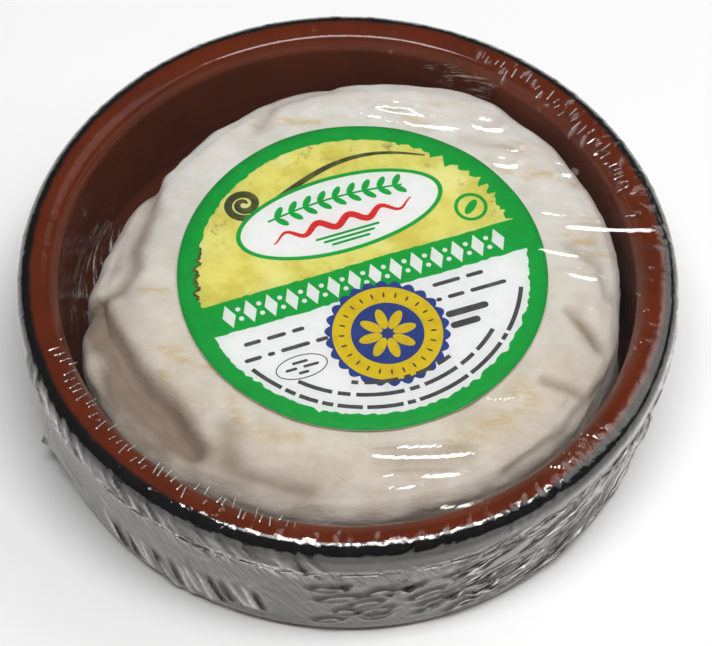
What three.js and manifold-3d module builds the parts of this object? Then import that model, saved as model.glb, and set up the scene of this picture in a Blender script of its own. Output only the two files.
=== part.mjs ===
// A small soft-ripened cheese in a glazed terracotta bowl, with a round paper label lying on it,
// sealed in clear shrink film.
// Units are millimetres and +Z is up. The origin is on the film's underside at the bowl's centre,
// where the pack stands.
import * as THREE from "three";
import { mergeVertices } from "three/addons/utils/BufferGeometryUtils.js";
import Module from "manifold-3d";

const wasm = await Module();
wasm.setup();

// Driving dimensions: the bowl
const BOWL_DIAMETER = 96;
const BOWL_HEIGHT = 26.1;
const BEAD_RADIUS = 2.55; // outer round of the rim
const BEAD_HEIGHT = 5.3; // how far down the rim stands proud of the wall
const RIM_WIDTH = 5.85; // from the outside of the rim to the edge of the mouth
const RIM_CREST = 3.2; // from the outside of the rim to its highest line
const CREST_ROUND = 2;
const RIM_FALL = 1.6; // how much lower the edge of the mouth is than that line
const MOUTH_ROUND = 0.9;
const NECK_DEPTH = 1.3; // how far the wall stands back under the rim
const NECK_ROUND = 1.2;
const WALL_TAPER = 1.5; // how much narrower the foot is than the neck, in radius
const FOOT_ROUND = 1.8;
const INNER_DRAFT = 0.75; // how much narrower the floor is than the mouth, in radius
const FLOOR_THICKNESS = 4.5;
const FLOOR_ROUND = 4;
const FOOT_RING_WIDTH = 7; // the flat ring that the bowl stands on
const FOOT_RECESS = 0.8; // how deep the underside is hollowed inside that ring

// Driving dimensions: the cheese
const CHEESE_WALL_GAP = 0.4; // where it comes closest to the bowl's wall
const CHEESE_BELOW_RIM = 1.7;
const CHEESE_CROWN = 0.35; // how much the middle of the top stands above its edge
const CHEESE_SHOULDER_ROUND = 4;
const CHEESE_BOTTOM_ROUND = 5;
const CHEESE_SIDE_LEAN = 1; // how far the shoulder stands back from the base
// Where the soft side has shrunk back from the wall: direction and half width in degrees, depth in mm
const CHEESE_DENTS = [
  { at: 85, width: 30, depth: 1.9 },
  { at: 140, width: 75, depth: 6.8 },
  { at: 270, width: 45, depth: 1.2 },
];
// Where the top has slumped towards its edge
const CHEESE_SLUMPS = [
  { at: 172, width: 26, depth: 3.2 },
  { at: 222, width: 24, depth: 3.4 },
  { at: 268, width: 20, depth: 2 },
  { at: 345, width: 30, depth: 1.4 },
];
const SLUMP_WIDTH = 12; // how far in from the edge a slump begins

// Driving dimensions: the label and the film
const LABEL_DIAMETER = 54;
const LABEL_THICKNESS = 0.2;
const LABEL_SHIFT = { x: 2.1, y: 0 };
const FILM_THICKNESS = 0.15;
const FILM_LIP_DROP = 4.6; // how far down from the rim's top the film follows the bead
const FILM_FOOT_ROUND = 2;
const SEAL_DROP = 7.55; // how far below the rim's top the trim seal runs round the side
const SEAL_PROUD = 0.45;
const SEAL_WIDTH = 0.35;
const EAR_DIRECTION = 199; // degrees: where the seal's cut corner sticks out
const EAR_LENGTH = 2.4;
const EAR_WIDTH = 5;
const VENT_DIAMETER = 1.1;
const VENT_INSET = 7.3; // distance of the vent pinholes in from the outside of the rim
const VENT_DIRECTIONS = [84, 168, 252];

const CLEARANCE = 0.3; // between pieces that touch
const ROUND_SEGMENTS = 60;
const ARC_STEPS = 2; // half the number of steps in each rounded corner

// Derived sizes
const bowlRadius = BOWL_DIAMETER / 2;
const bowlBottom = FILM_THICKNESS + CLEARANCE;
const rimTop = bowlBottom + BOWL_HEIGHT;
const mouthRadius = bowlRadius - RIM_WIDTH;
const neckRadius = bowlRadius - NECK_DEPTH;
const footRadius = neckRadius - WALL_TAPER;
const floorRadius = mouthRadius - INNER_DRAFT;
const floorTop = bowlBottom + FLOOR_THICKNESS;
const cheeseRadius = floorRadius - CHEESE_WALL_GAP;
const cheeseBottom = floorTop + CLEARANCE;
const cheeseTop = rimTop - CHEESE_BELOW_RIM;
const slumpStart = cheeseRadius - SLUMP_WIDTH;
const labelBottom = cheeseTop + CLEARANCE;
const sealHeight = rimTop - SEAL_DROP;
const ventRadius = bowlRadius - VENT_INSET;

const radians = (degrees) => (degrees * Math.PI) / 180;

// The points of an outline through corners [x, y, radius], with an arc at each corner that has a radius.
function roundedOutline(corners) {
  const path = new THREE.Path();
  corners.forEach(([x, y, radius], i) => {
    const corner = new THREE.Vector2(x, y);
    if (i === 0) path.moveTo(x, y);
    else if (!radius) path.lineTo(x, y);
    else {
      const before = new THREE.Vector2(...corners[i - 1].slice(0, 2)).sub(corner).normalize();
      const after = new THREE.Vector2(...corners[i + 1].slice(0, 2)).sub(corner).normalize();
      const half = Math.acos(before.dot(after)) / 2;
      const middle = before.clone().add(after).normalize();
      const centre = middle.multiplyScalar(radius / Math.sin(half)).add(corner);
      const reach = radius / Math.tan(half);
      const start = before.clone().multiplyScalar(reach).add(corner).sub(centre);
      const end = after.clone().multiplyScalar(reach).add(corner).sub(centre);
      const clockwise = before.cross(after) > 0;
      path.lineTo(centre.x + start.x, centre.y + start.y);
      path.absarc(centre.x, centre.y, radius, start.angle(), end.angle(), clockwise);
    }
  });
  return path.getPoints(ARC_STEPS);
}

// An outline of (radius, height) points turned about the Z axis.
function turned(points) {
  return new THREE.LatheGeometry(points, ROUND_SEGMENTS).rotateX(Math.PI / 2);
}

// A closed geometry as a manifold-3d solid, ready to be joined or cut.
function solidOf(geometry) {
  const bare = new THREE.BufferGeometry();
  bare.setAttribute("position", geometry.getAttribute("position"));
  bare.setIndex(geometry.index);
  const merged = mergeVertices(bare, 1e-3);
  return new wasm.Manifold(
    new wasm.Mesh({
      numProp: 3,
      vertProperties: merged.getAttribute("position").array,
      triVerts: new Uint32Array(merged.index.array),
    }),
  );
}

// A manifold-3d solid as a geometry.
function geometryOf(solid) {
  const mesh = solid.getMesh();
  const geometry = new THREE.BufferGeometry();
  geometry.setAttribute("position", new THREE.BufferAttribute(mesh.vertProperties, 3));
  geometry.setIndex(new THREE.BufferAttribute(mesh.triVerts, 1));
  geometry.computeVertexNormals();
  return geometry;
}

function piece(name, geometry, look) {
  const mesh = new THREE.Mesh(geometry, new THREE.MeshStandardMaterial(look));
  mesh.name = name;
  return mesh;
}

function bowl() {
  const ringInside = footRadius - FOOT_RING_WIDTH;
  const outline = roundedOutline([
    [0, FOOT_RECESS],
    [ringInside - FOOT_RECESS, FOOT_RECESS],
    [ringInside, 0],
    [footRadius, 0, FOOT_ROUND],
    [neckRadius, BOWL_HEIGHT - BEAD_HEIGHT - NECK_DEPTH / 2, NECK_ROUND],
    [bowlRadius, BOWL_HEIGHT - BEAD_HEIGHT, BEAD_RADIUS / 2],
    [bowlRadius, BOWL_HEIGHT, BEAD_RADIUS],
    [bowlRadius - RIM_CREST, BOWL_HEIGHT, CREST_ROUND],
    [mouthRadius, BOWL_HEIGHT - RIM_FALL, MOUTH_ROUND],
    [floorRadius, FLOOR_THICKNESS, FLOOR_ROUND],
    [0, FLOOR_THICKNESS],
  ]);
  const mesh = piece("bowl", turned(outline), { color: 0x6b2a16, roughness: 0.18, metalness: 0 });
  mesh.position.z = bowlBottom;
  return mesh;
}

// A smooth hump of height 1 at one direction, falling to 0 at the half width.
function hump(angle, { at, width }) {
  const away = Math.abs(((angle - at + 540) % 360) - 180) / width;
  return away < 1 ? (1 + Math.cos(Math.PI * away)) / 2 : 0;
}

const total = (list, angle) => list.reduce((sum, one) => sum + one.depth * hump(angle, one), 0);

// One solid: a turned disc with soft edges whose side is drawn in by the dents and whose top sinks at the slumps.
function cheese() {
  const edge = cheeseTop - CHEESE_CROWN;
  const outline = roundedOutline([
    [0, cheeseBottom],
    [cheeseRadius, cheeseBottom, CHEESE_BOTTOM_ROUND],
    [cheeseRadius - CHEESE_SIDE_LEAN, edge, CHEESE_SHOULDER_ROUND],
    [slumpStart, edge + CHEESE_CROWN / 2],
    [slumpStart / 2, cheeseTop],
    [0, cheeseTop],
  ]);
  const geometry = turned(outline);
  const position = geometry.getAttribute("position");
  const height = cheeseTop - cheeseBottom;
  for (let i = 0; i < position.count; i++) {
    const [x, y, z] = [position.getX(i), position.getY(i), position.getZ(i)];
    const radius = Math.hypot(x, y);
    const angle = THREE.MathUtils.radToDeg(Math.atan2(y, x));
    const shrink = 1 - (total(CHEESE_DENTS, angle) / cheeseRadius) * (radius / cheeseRadius);
    const outwards = THREE.MathUtils.smoothstep(radius, slumpStart, cheeseRadius);
    const up = (z - cheeseBottom) / height;
    position.setXYZ(i, x * shrink, y * shrink, z - total(CHEESE_SLUMPS, angle) * outwards * up);
  }
  return piece("cheese", geometry, { color: 0xe6ddcf, roughness: 0.8, metalness: 0 });
}

function label() {
  const disc = new THREE.CylinderGeometry(
    LABEL_DIAMETER / 2,
    LABEL_DIAMETER / 2,
    LABEL_THICKNESS,
    ROUND_SEGMENTS,
  );
  const mesh = piece("label", disc.rotateX(Math.PI / 2), { color: 0x2f9e44, roughness: 0.5, metalness: 0 });
  mesh.position.set(LABEL_SHIFT.x, LABEL_SHIFT.y, labelBottom + LABEL_THICKNESS / 2);
  return mesh;
}

// The film's surface at one distance out from the bowl: over the mouth, round the rim, down to the foot.
function filmOutline(out) {
  return roundedOutline([
    [0, bowlBottom - out],
    [footRadius + out, bowlBottom - out, FILM_FOOT_ROUND + out],
    [bowlRadius + out, rimTop - FILM_LIP_DROP, BEAD_RADIUS],
    [bowlRadius + out, rimTop + out, BEAD_RADIUS + out / 2],
    [0, rimTop + out],
  ]);
}

// The film's outer radius at a height, read off its outline.
function filmRadiusAt(z) {
  const outline = filmOutline(CLEARANCE + FILM_THICKNESS);
  const above = outline.findIndex((point) => point.y > z);
  const [low, high] = [outline[above - 1], outline[above]];
  return THREE.MathUtils.mapLinear(z, low.y, high.y, low.x, high.x);
}

// The welded line that is left where the bag was trimmed: a thin ring standing out of the film.
function sealRing() {
  const radius = filmRadiusAt(sealHeight);
  const inside = radius - FILM_THICKNESS / 2;
  const low = sealHeight - SEAL_WIDTH / 2;
  const high = sealHeight + SEAL_WIDTH / 2;
  const section = [
    [inside, low],
    [radius + SEAL_PROUD, low],
    [radius + SEAL_PROUD, high],
    [inside, high],
    [inside, low],
  ];
  return turned(section.map(([r, z]) => new THREE.Vector2(r, z)));
}

// The corner of the trimmed bag: a small pointed tab in the plane of the seal.
function sealEar() {
  const inside = filmRadiusAt(sealHeight) - FILM_THICKNESS / 2;
  const shape = new THREE.Shape([
    new THREE.Vector2(inside, -EAR_WIDTH / 2),
    new THREE.Vector2(inside + EAR_LENGTH, 0),
    new THREE.Vector2(inside, EAR_WIDTH / 2),
  ]);
  return new THREE.ExtrudeGeometry(shape, { depth: SEAL_WIDTH, bevelEnabled: false })
    .translate(0, 0, sealHeight - SEAL_WIDTH / 2)
    .rotateZ(radians(EAR_DIRECTION));
}

function vent(direction) {
  const length = 2 * bowlBottom;
  return new THREE.CylinderGeometry(VENT_DIAMETER / 2, VENT_DIAMETER / 2, length, 12)
    .rotateX(Math.PI / 2)
    .translate(ventRadius, 0, rimTop + bowlBottom / 2)
    .rotateZ(radians(direction));
}

// One closed bag with a hollow for the bowl, its trim seal and its pinholes.
function film() {
  let solid = solidOf(turned(filmOutline(CLEARANCE + FILM_THICKNESS)));
  solid = solid.add(solidOf(sealRing()));
  solid = solid.add(solidOf(sealEar()));
  solid = solid.subtract(solidOf(turned(filmOutline(CLEARANCE))));
  for (const direction of VENT_DIRECTIONS) solid = solid.subtract(solidOf(vent(direction)));
  const look = { color: 0xffffff, roughness: 0.05, metalness: 0, transparent: true, opacity: 0.2 };
  return piece("film", geometryOf(solid), look);
}

const pack = new THREE.Group();
pack.add(bowl(), cheese(), label(), film());

export default pack;
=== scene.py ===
import math

import bpy
import numpy as np
from mathutils import Matrix, Vector, noise
from mathutils.geometry import delaunay_2d_cdt


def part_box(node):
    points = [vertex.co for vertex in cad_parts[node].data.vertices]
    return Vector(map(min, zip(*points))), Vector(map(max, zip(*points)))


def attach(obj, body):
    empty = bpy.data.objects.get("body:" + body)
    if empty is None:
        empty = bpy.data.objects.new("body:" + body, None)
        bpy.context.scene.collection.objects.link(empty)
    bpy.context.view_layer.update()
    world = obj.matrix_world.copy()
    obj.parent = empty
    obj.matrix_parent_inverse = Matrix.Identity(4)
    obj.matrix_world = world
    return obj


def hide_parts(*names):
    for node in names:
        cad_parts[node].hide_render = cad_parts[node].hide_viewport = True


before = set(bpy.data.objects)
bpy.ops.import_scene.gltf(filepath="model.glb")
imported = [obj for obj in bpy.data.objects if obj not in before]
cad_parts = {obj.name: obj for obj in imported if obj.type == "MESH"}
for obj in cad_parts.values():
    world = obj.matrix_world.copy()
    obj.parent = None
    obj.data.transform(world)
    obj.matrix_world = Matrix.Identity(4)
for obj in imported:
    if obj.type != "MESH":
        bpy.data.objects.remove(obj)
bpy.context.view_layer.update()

MM = 0.001

# ---- sizes, from the frame and from the design


def span(node):
    """A CAD node's lowest and highest corners in millimetres."""
    low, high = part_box(node)
    return [v / MM for v in low], [v / MM for v in high]


bowl_low, bowl_high = span("bowl")
cheese_low, cheese_high = span("cheese")
label_low, label_high = span("label")

BOWL_RADIUS = (bowl_high[0] - bowl_low[0]) / 2
BOWL_BOTTOM = bowl_low[2]
RIM_TOP = bowl_high[2]
BOWL_HEIGHT = RIM_TOP - BOWL_BOTTOM
LABEL_CENTRE = ((label_low[0] + label_high[0]) / 2, (label_low[1] + label_high[1]) / 2)
LABEL_RADIUS = (label_high[0] - label_low[0]) / 2

BEAD_RADIUS = 2.55
BEAD_HEIGHT = 5.3
RIM_WIDTH = 5.85
RIM_CREST = 3.2
RIM_FALL = 1.6
NECK_DEPTH = 1.3
WALL_TAPER = 1.5
INNER_DRAFT = 0.75
FLOOR_THICKNESS = 4.5
FOOT_RING_WIDTH = 7
FOOT_RECESS = 0.8
GLAZE_EDGE = 46.2  # radius on the rim where the red glaze meets the black one
GLAZE_DIP = 2.6  # how much less that radius is lower down

MOUTH_RADIUS = BOWL_RADIUS - RIM_WIDTH
NECK_RADIUS = BOWL_RADIUS - NECK_DEPTH
FOOT_RADIUS = NECK_RADIUS - WALL_TAPER
FLOOR_RADIUS = MOUTH_RADIUS - INNER_DRAFT

CHEESE_RADIUS = FLOOR_RADIUS - 0.4
CHEESE_BOTTOM = cheese_low[2]
CHEESE_TOP = cheese_high[2]
CHEESE_CROWN = 0.35
SLUMP_START = CHEESE_RADIUS - 12
# Where the side has shrunk back and where the top has sunk: direction and half width in degrees, depth
CHEESE_DENTS = [(85, 30, 1.9), (140, 75, 6.8), (270, 45, 1.2)]
CHEESE_SLUMPS = [(172, 26, 3.2), (222, 24, 3.4), (268, 20, 2), (345, 30, 1.4)]

FILM_BOTTOM = 0.06
FILM_OUT = 0.22  # how far the film stands off the bowl
FILM_LIP_DROP = 4.6
FILM_REST = label_high[2] + 0.3  # height of the film where it lies on the label
SEAL_HEIGHT = RIM_TOP - 7.55
SEAL_PROUD = 0.4
SEAL_LEAN = (0.045, -0.025)  # how much the seal rises per millimetre along X and Y
EAR_DIRECTION = 203
EAR_HEIGHT = 6.5
EAR_LENGTH = 1.3
EAR_WIDTH = 3
LOOSE_LIFT = 1.5  # how far the film stands off the side round that corner
VENTS = [(84, 40.7), (168, 40.7), (252, 40.7)]  # direction in degrees, distance from the axis
VENT_RADIUS = 0.7

CAMERA_DISTANCE = 483.9
CAMERA_ELEVATION = 55.97
CAMERA_ROLL = 1.795
CAMERA_SLIDE = (1.14, -6.59)  # along the picture's own right and up
CAMERA_TARGET = 24.0  # height of the point that it looks at
CAMERA_LENS = 167.8

rng = np.random.default_rng(7)

# ---- meshes


def polar(direction, distance=1.0):
    """The point (x, y) in a direction in degrees, at a distance from the axis."""
    a = math.radians(direction)
    return distance * math.cos(a), distance * math.sin(a)


def linked(name, data):
    """A new object in the scene."""
    thing = bpy.data.objects.new(name, data)
    bpy.context.scene.collection.objects.link(thing)
    return thing


def rounded_outline(corners, step=0.4):
    """Points about a step apart along the line through corners (x, y, radius), with arcs at the corners."""
    dense = [np.array(corners[0][:2], float)]
    for before, here, after in zip(corners, corners[1:], corners[2:]):
        corner = np.array(here[:2], float)
        back = np.array(before[:2], float) - corner
        on = np.array(after[:2], float) - corner
        back /= np.linalg.norm(back)
        on /= np.linalg.norm(on)
        half = math.acos(float(np.clip(back @ on, -1, 1))) / 2
        if not here[2]:
            dense.append(corner)
            continue
        middle = (back + on) / np.linalg.norm(back + on)
        centre = corner + middle * here[2] / math.sin(half)
        first = corner + back * here[2] / math.tan(half) - centre
        turn = (math.pi - 2 * half) * (1 if back[0] * on[1] - back[1] * on[0] < 0 else -1)
        for share in np.linspace(0, 1, 13):
            c, s = math.cos(turn * share), math.sin(turn * share)
            dense.append(centre + np.array((c * first[0] - s * first[1], s * first[0] + c * first[1])))
    dense.append(np.array(corners[-1][:2], float))
    dense = np.array(dense)
    along = np.concatenate(([0], np.cumsum(np.linalg.norm(np.diff(dense, axis=0), axis=1))))
    count = max(3, round(along[-1] / step) + 1)
    even = np.linspace(0, along[-1], count)
    return np.column_stack([np.interp(even, along, dense[:, k]) for k in (0, 1)])


def outline_normals(outline):
    """Unit vectors (r, z) that point out of a turned outline that runs from the bottom to the top."""
    run = np.gradient(outline, axis=0)
    out = np.column_stack((run[:, 1], -run[:, 0]))
    return out / np.linalg.norm(out, axis=1)[:, None]


def turned_faces(counts):
    """Faces between rings of the given numbers of points, with an axis point before and after them."""
    faces = []
    starts = 1 + np.concatenate(([0], np.cumsum(counts)))
    end = int(starts[-1])
    for i in range(counts[0]):
        faces.append((0, int(starts[0]) + (i + 1) % counts[0], int(starts[0]) + i))
    for k in range(len(counts) - 1):
        a, b, n, m = int(starts[k]), int(starts[k + 1]), counts[k], counts[k + 1]
        if n == m:
            for i in range(n):
                j = (i + 1) % n
                faces.append((a + i, a + j, b + j, b + i))
            continue
        fine, coarse, few = (a, b, m) if n > m else (b, a, n)
        for i in range(few):
            c0, c1 = coarse + i, coarse + (i + 1) % few
            f = [fine + (3 * i + t) % (3 * few) for t in range(4)]
            strip = [(f[0], f[1], c0), (f[1], c1, c0), (f[1], f[2], c1), (f[2], f[3], c1)]
            faces += strip if n > m else [face[::-1] for face in strip]
    last = int(starts[-2])
    for i in range(counts[-1]):
        faces.append((end, last + i, last + (i + 1) % counts[-1]))
    return faces


def mesh_piece(name, points, faces, materials):
    """A smooth-shaded object from points in millimetres."""
    mesh = bpy.data.meshes.new(name)
    mesh.from_pydata((np.asarray(points) * MM).tolist(), [], faces)
    mesh.shade_smooth()
    for material in materials:
        mesh.materials.append(material)
    piece = linked(name, mesh)
    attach(piece, "root")
    return piece


def point_values(piece, name, rings):
    """Stores a value for each point of a turned piece, and 0 for the two points on the axis."""
    attribute = piece.data.attributes.new(name, "FLOAT", "POINT")
    attribute.data.foreach_set("value", np.concatenate([[0.0]] + rings + [[0.0]]))


def turned_piece(name, rings, bottom, top, materials):
    """A closed turned object from rings of points (x, y, z) and a point on the axis at each end."""
    points = np.vstack([np.array([bottom])] + rings + [np.array([top])])
    return mesh_piece(name, points, turned_faces([len(ring) for ring in rings]), materials)


def directions(count):
    return np.arange(count) * 2 * math.pi / count


def waver(x, y, z):
    """Smooth noise between about -1 and 1."""
    return noise.noise(Vector((x, y, z)))


def bell(away, width, power=2):
    return np.exp(-((away / width) ** power))


def noise_at(points, size, seed):
    """Smooth noise at each point, with features of the given size."""
    return np.array([waver(x / size, y / size, z / size + seed) for x, y, z in points])


# ---- materials


class Nodes:
    """A material's node tree, with short calls for the nodes used here."""

    def __init__(self, name):
        self.material = bpy.data.materials.new(name)
        self.material.use_nodes = True
        self.tree = self.material.node_tree
        self.shader = self.tree.nodes["Principled BSDF"]
        self.output = self.tree.nodes["Material Output"]
        self.place = self.add("ShaderNodeTexCoord").outputs["Object"]

    def add(self, kind, **settings):
        node = self.tree.nodes.new(kind)
        for key, value in settings.items():
            setattr(node, key, value)
        return node

    def put(self, value, socket):
        if isinstance(value, bpy.types.NodeSocket):
            self.tree.links.new(value, socket)
        else:
            socket.default_value = value

    def math(self, operation, *values):
        node = self.add("ShaderNodeMath", operation=operation)
        for value, socket in zip(values, node.inputs):
            self.put(value, socket)
        return node.outputs[0]

    def plus(self, a, b):
        return self.math("ADD", a, b)

    def minus(self, a, b):
        return self.math("SUBTRACT", a, b)

    def over(self, a, b):
        return self.math("DIVIDE", a, b)

    def times(self, *values):
        product = values[0]
        for value in values[1:]:
            product = self.math("MULTIPLY", product, value)
        return product

    def apart(self, a, b):
        """How far two values are apart."""
        return self.math("ABSOLUTE", self.minus(a, b))

    def attribute(self, name):
        return self.add("ShaderNodeAttribute", attribute_name=name).outputs["Fac"]

    def xyz(self, vector=None):
        node = self.add("ShaderNodeSeparateXYZ")
        self.put(vector or self.place, node.inputs[0])
        return node.outputs

    def joined(self, x, y):
        node = self.add("ShaderNodeCombineXYZ")
        self.put(x, node.inputs[0])
        self.put(y, node.inputs[1])
        return node.outputs[0]

    def turn(self):
        """The angle round the Z axis, measured from the front, so that its two ends meet at the back."""
        x, y, _ = self.xyz()
        return self.math("ARCTAN2", x, self.times(y, -1.0))

    def scaled(self, *scale):
        """The place with each of its axes scaled."""
        node = self.add("ShaderNodeMapping")
        self.put(self.place, node.inputs["Vector"])
        node.inputs["Scale"].default_value = scale
        return node.outputs[0]

    def noise(self, size, detail=3.0, roughness=0.5, distortion=0.0, vector=None):
        """Noise with features of about the given size in millimetres."""
        node = self.add("ShaderNodeTexNoise")
        self.put(vector or self.place, node.inputs["Vector"])
        node.inputs["Scale"].default_value = 1 / (size * MM)
        node.inputs["Detail"].default_value = detail
        node.inputs["Roughness"].default_value = roughness
        node.inputs["Distortion"].default_value = distortion
        return node.outputs["Fac"]

    def step(self, value, low, high):
        """0 below low, 1 above high, smooth between them."""
        node = self.add("ShaderNodeMapRange", interpolation_type="SMOOTHSTEP")
        self.put(value, node.inputs["Value"])
        self.put(low, node.inputs["From Min"])
        self.put(high, node.inputs["From Max"])
        return node.outputs["Result"]

    def mix(self, factor, a, b):
        node = self.add("ShaderNodeMix", data_type="RGBA")
        self.put(factor, node.inputs[0])
        for value, socket in ((a, node.inputs[6]), (b, node.inputs[7])):
            self.put(value if isinstance(value, bpy.types.NodeSocket) else (*value, 1.0), socket)
        return node.outputs[2]

    def bump(self, height, distance, strength=1.0, normal=None):
        node = self.add("ShaderNodeBump")
        self.put(height, node.inputs["Height"])
        node.inputs["Distance"].default_value = distance * MM
        node.inputs["Strength"].default_value = strength
        if normal is not None:
            self.put(normal, node.inputs["Normal"])
        return node.outputs[0]

    def set(self, **values):
        for key, value in values.items():
            socket = self.shader.inputs[key.replace("_", " ")]
            if isinstance(value, tuple) and len(value) == 3 and socket.type == "RGBA":
                value = (*value, 1.0)
            self.put(value, socket)

    def axis_parts(self, vector=None):
        """Distance from the Z axis and height, in millimetres."""
        x, y, z = self.xyz(vector)
        flat = self.math("SQRT", self.plus(self.times(x, x), self.times(y, y)))
        return self.over(flat, MM), self.over(z, MM)


DASH_PITCH = 1.25  # the finest puckers, along the rim and their least distance from the axis
DASH_RADIUS = 42.7
RED_GLAZE = (0.155, 0.023, 0.004)
RED_GLAZE_THICK = (0.125, 0.019, 0.004)
INNER_GLAZE = (0.165, 0.036, 0.012)
INNER_GLAZE_THICK = (0.13, 0.03, 0.011)
PAINTED_GAP_SHADE = (0.014, 0.007, 0.005)  # painted shade low on the inner wall, where the cheese stands close to it
BLACK_GLAZE = (0.008, 0.008, 0.009)
BARE_CLAY = (0.34, 0.13, 0.06)
SMEAR = (0.85, 0.8, 0.74)
PAPER_ROUGHNESS = 0.52


def smear_mask(n):
    """Where the cheese has wiped thin white marks on the wall: long thin streaks in two stretches."""
    x, y, z = n.xyz()
    angle = n.math("ARCTAN2", y, x)
    height = n.over(z, MM)
    around = n.joined(n.times(angle, 0.006), n.plus(z, n.times(angle, 0.017)))
    streaks = n.step(n.noise(0.8, 6, 0.74, vector=around), 0.49, 0.62)
    patches = n.step(n.noise(3.2, 2), 0.36, 0.54)

    def stretch(middle, half, low, high):
        away = n.apart(angle, math.radians(middle))
        sides = n.step(away, math.radians(half), math.radians(half * 0.45))
        return n.times(sides, n.step(height, low, low + 3), n.step(height, high, high - 3))

    left = stretch(164, 17, 1, 14)
    back = stretch(67, 10, 19, 26)
    return n.times(streaks, patches, n.math("MAXIMUM", left, back))


def glazed_terracotta():
    """Red-brown glaze inside and over the rim, near-black glaze outside, bare clay under the foot."""
    n = Nodes("glazed_terracotta")
    radius, height = n.axis_parts()
    wobble = n.times(n.minus(n.noise(4.0, 2), 0.5), 0.9)
    near_top = n.step(height, RIM_TOP - 4.5, RIM_TOP - 0.5)
    edge = n.plus(n.times(near_top, GLAZE_DIP), GLAZE_EDGE - GLAZE_DIP)
    past = n.minus(n.plus(radius, wobble), edge)
    outside = n.step(past, -0.35, 0.35)
    cloud = n.noise(9.0, 4, 0.6)
    red = n.mix(n.step(cloud, 0.35, 0.65), RED_GLAZE, RED_GLAZE_THICK)
    speckle = n.step(n.noise(0.5, 2), 0.68, 0.76)
    red = n.mix(n.times(speckle, 0.3), red, (0.26, 0.06, 0.02))
    deep = n.mix(n.step(cloud, 0.35, 0.7), INNER_GLAZE, INNER_GLAZE_THICK)
    # painted shade: the inner wall darkened towards its bottom, in the gap beside the cheese
    low = n.step(n.plus(height, wobble), 9.0, 4.0)
    deep = n.mix(n.times(low, 0.85), deep, PAINTED_GAP_SHADE)
    deep = n.mix(n.times(smear_mask(n), 0.9), deep, SMEAR)
    into = n.step(n.plus(height, n.times(wobble, 0.5)), RIM_TOP - 2.6, RIM_TOP - 1.4)
    inside = n.mix(into, deep, red)
    glazed = n.mix(outside, inside, BLACK_GLAZE)
    clay = n.mix(n.noise(1.2, 4), BARE_CLAY, (0.24, 0.09, 0.045))
    bare = n.step(n.plus(height, n.times(wobble, 0.4)), BOWL_BOTTOM + 1.1, BOWL_BOTTOM + 0.8)
    n.set(Base_Color=n.mix(bare, glazed, clay))
    smooth = n.plus(0.06, n.times(cloud, 0.08))
    n.set(Roughness=n.plus(smooth, n.times(bare, 0.55)), Specular_IOR_Level=0.36)
    n.set(Normal=n.bump(n.noise(1.6, 3), 0.05, 0.6))
    return n.material


def white_rind():
    """A velvety white mould rind, creamier towards the front, with tan streaks and painted grey-brown shade
    in creases and on the side.
    """
    n = Nodes("white_rind")
    painted_shade = n.attribute("painted_shade")
    streak = n.step(n.noise(2.8, 4, 0.6, 0.6, n.scaled(0.28, 1.0, 0.6)), 0.56, 0.72)
    patch = n.step(n.noise(11.0, 3, 0.6), 0.45, 0.66)
    cloud = n.noise(5.0, 5, 0.6)
    # creamier and darker towards the front, the -Y side
    creamy = n.step(n.plus(n.xyz()[1], n.times(cloud, 0.02)), 0.03, -0.02)
    bright = n.mix(creamy, (0.78, 0.757, 0.717), (0.735, 0.675, 0.6))
    dull = n.mix(creamy, (0.71, 0.67, 0.615), (0.63, 0.555, 0.46))
    white = n.mix(n.step(cloud, 0.35, 0.7), bright, dull)
    tan = n.mix(n.noise(2.0, 3), (0.68, 0.51, 0.28), (0.58, 0.42, 0.23))
    stain = n.attribute("stain")
    broken = n.step(n.noise(1.3, 4, 0.65, vector=n.scaled(0.35, 1.0, 0.8)), 0.38, 0.6)
    stained = n.math("MAXIMUM", n.times(streak, patch, 0.45), n.times(stain, broken, 0.8))
    colour = n.mix(stained, white, tan)
    fuzz = n.noise(0.6, 4, 0.7)
    colour = n.mix(n.times(n.step(fuzz, 0.5, 0.75), 0.3), colour, (0.8, 0.775, 0.735))
    # painted shade: grey-brown where the creases and the low side of the cheese are in shade
    shade = n.mix(n.noise(3.0, 3), (0.185, 0.125, 0.085), (0.3, 0.23, 0.17))
    colour = n.mix(n.times(painted_shade, 0.92), colour, shade)
    n.set(Base_Color=colour, Roughness=n.plus(0.6, n.times(fuzz, 0.3)))
    n.set(Subsurface_Weight=0.25, Subsurface_Radius=(1.0, 0.72, 0.5), Subsurface_Scale=0.0022)
    n.set(Sheen_Weight=0.15, Sheen_Roughness=0.5)
    creases = n.noise(1.7, 5, 0.65, 0.8, n.scaled(0.5, 1.0, 1.0))
    soft = n.bump(creases, 0.35, 0.7)
    n.set(Normal=n.bump(fuzz, 0.1, 0.6, soft))
    return n.material


def paper_surface(n, grain, roughness):
    n.set(Roughness=n.plus(roughness, n.times(grain, 0.16)), Specular_IOR_Level=0.22)
    n.set(Normal=n.bump(grain, 0.02, 0.5))


def ink(name, colour, worn, roughness=PAPER_ROUGHNESS):
    """Printed paper in one colour: a slight grain and a mottle towards a second shade."""
    n = Nodes(name)
    mottle = n.noise(1.8, 4, 0.6)
    grain = n.noise(0.16, 3, 0.6)
    tint = n.mix(n.step(mottle, 0.4, 0.72), colour, worn)
    n.set(Base_Color=n.mix(n.times(n.step(grain, 0.55, 0.8), 0.25), tint, worn))
    paper_surface(n, grain, roughness)
    return n.material


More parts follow.
